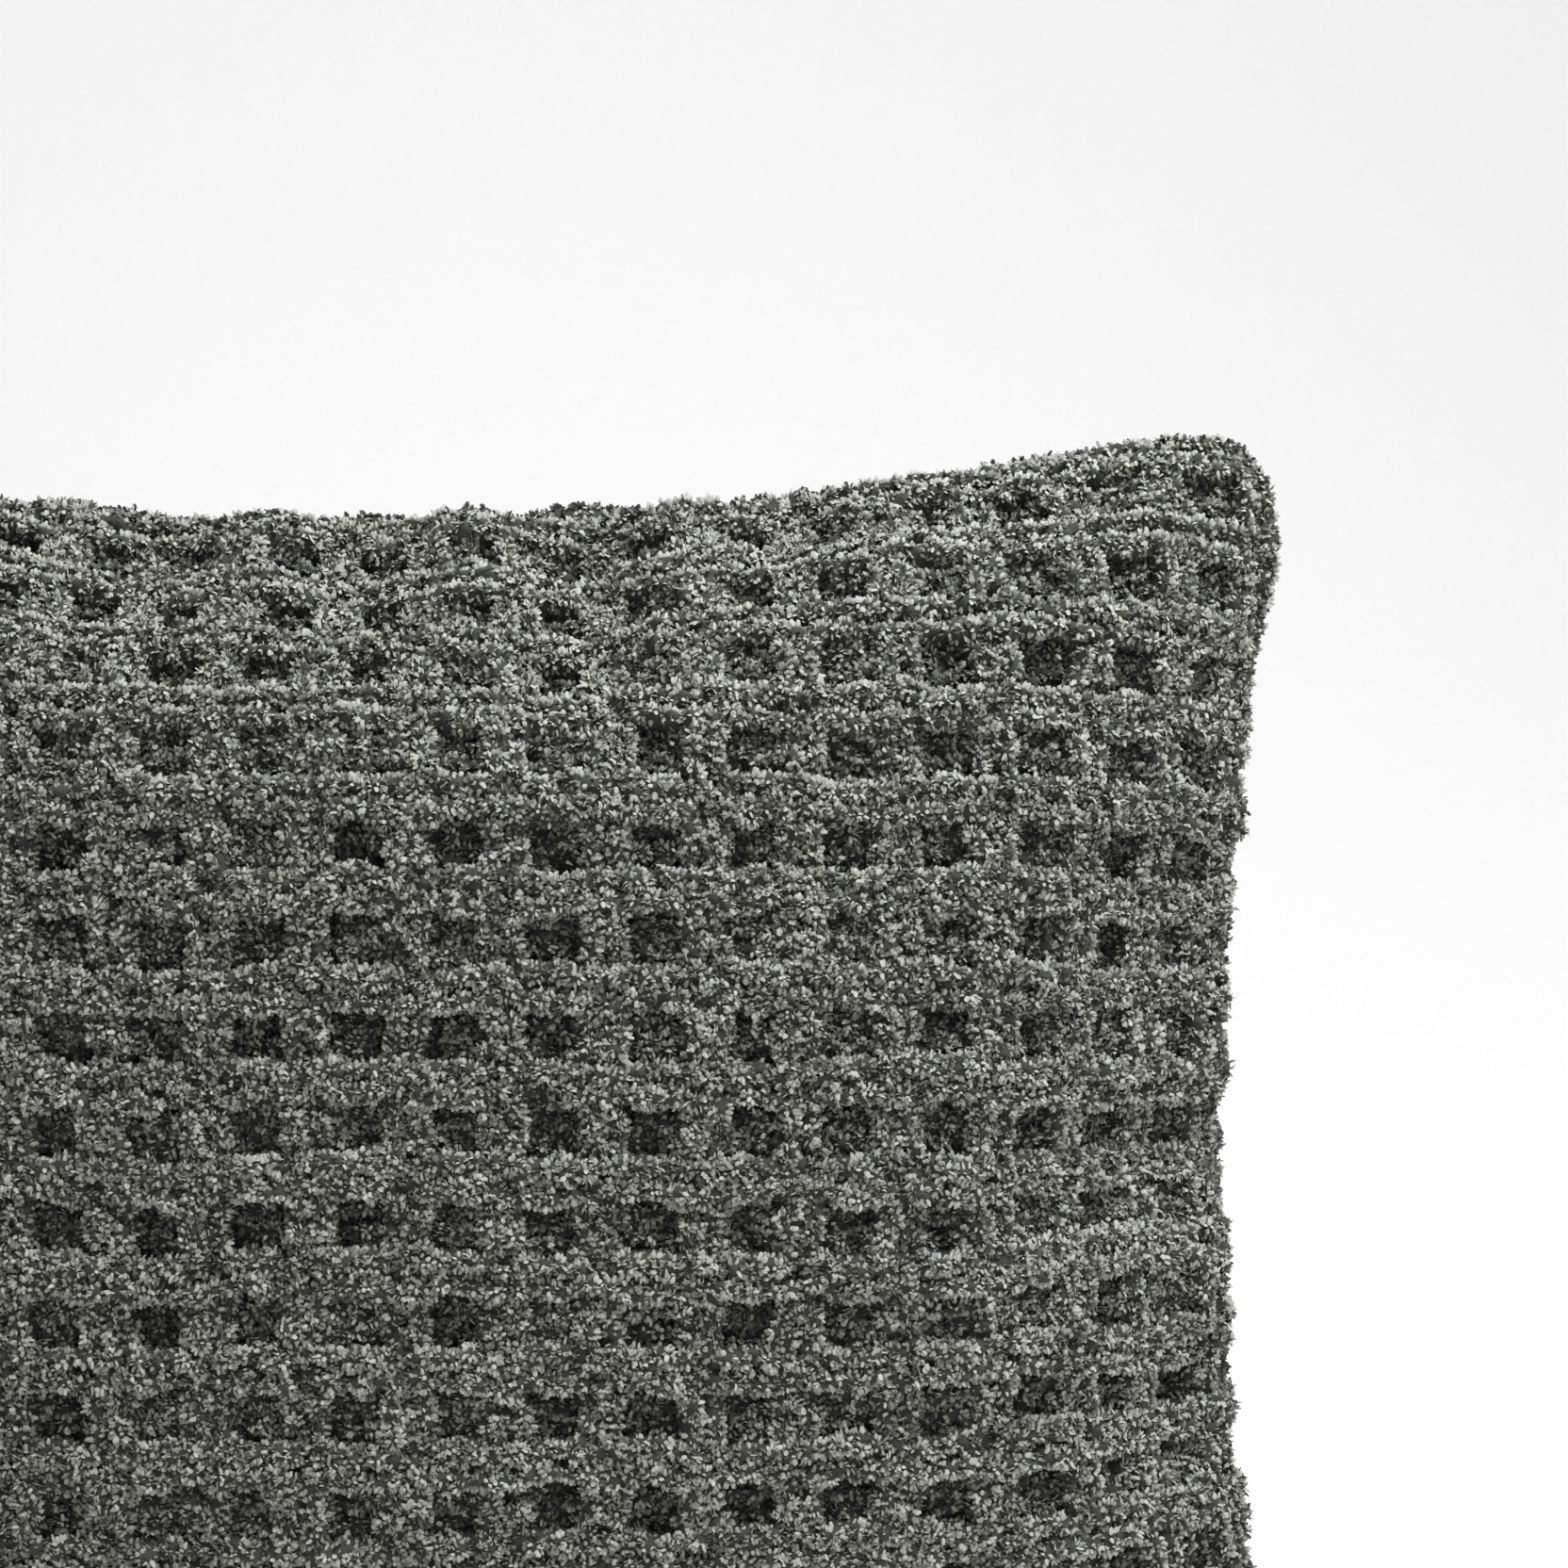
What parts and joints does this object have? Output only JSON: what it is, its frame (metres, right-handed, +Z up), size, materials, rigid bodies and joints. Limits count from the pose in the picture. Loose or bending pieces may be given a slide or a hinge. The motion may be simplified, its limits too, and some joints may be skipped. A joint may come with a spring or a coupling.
{
  "type": "throw pillow",
  "caption": "Rectangular lumbar throw pillow with a zipped waffle-weave chenille cover over a fibre-filled insert.",
  "frame": {"origin": "centre of the bottom of the bounding box, on the surface the pillow stands on", "axes": "+X along the width, +Y through the thickness towards the back face, +Z up; the front face looks along -Y"},
  "size_m": [0.4477, 0.1378, 0.3386],
  "materials": {
    "chenille": "waffle-woven cotton and acrylic chenille, grey-green",
    "cover_thread": "spun polyester sewing thread",
    "label_ribbon": "blank polyester satin ribbon",
    "zip_tape": "woven polyester zip tape",
    "zip_nylon": "nylon monofilament coil",
    "zip_metal": "enamelled die-cast zinc",
    "insert_cloth": "undyed plain-weave cotton cambric",
    "insert_thread": "spun polyester sewing thread",
    "fibre": "siliconised polyester fibre"
  },
  "bodies": {
    "pillow": {"cover_front": "chenille", "cover_back": "chenille", "cover_seam_thread": "cover_thread", "cover_overlock_thread": "cover_thread", "care_label": "label_ribbon", "zipper_tape_front": "zip_tape", "zipper_tape_back": "zip_tape", "zipper_coil_front": "zip_nylon", "zipper_coil_back": "zip_nylon", "zipper_stitching_front": "cover_thread", "zipper_stitching_back": "cover_thread", "zipper_top_stops": "zip_metal", "zipper_bottom_stop": "zip_metal", "zipper_end_tacks": "cover_thread", "insert_front": "insert_cloth", "insert_back": "insert_cloth", "insert_seam_thread": "insert_thread", "insert_closing_thread": "insert_thread", "insert_label": "label_ribbon", "fibre_fill": "fibre"},
    "slider": {"zipper_slider": "zip_metal"},
    "pull": {"zipper_pull": "zip_metal"}
  },
  "joints": [
    {"name": "zipper_slide", "type": "slide", "parent": "pillow", "child": "slider", "axis": [-1, 0, 0], "range_m": [0, 0.26]},
    {"name": "zipper_pull_hinge", "type": "hinge", "parent": "slider", "child": "pull", "pos_m": [0.13, 0, 0.0092], "axis": [0, 1, 0], "range_deg": [-156, 21]}
  ]
}
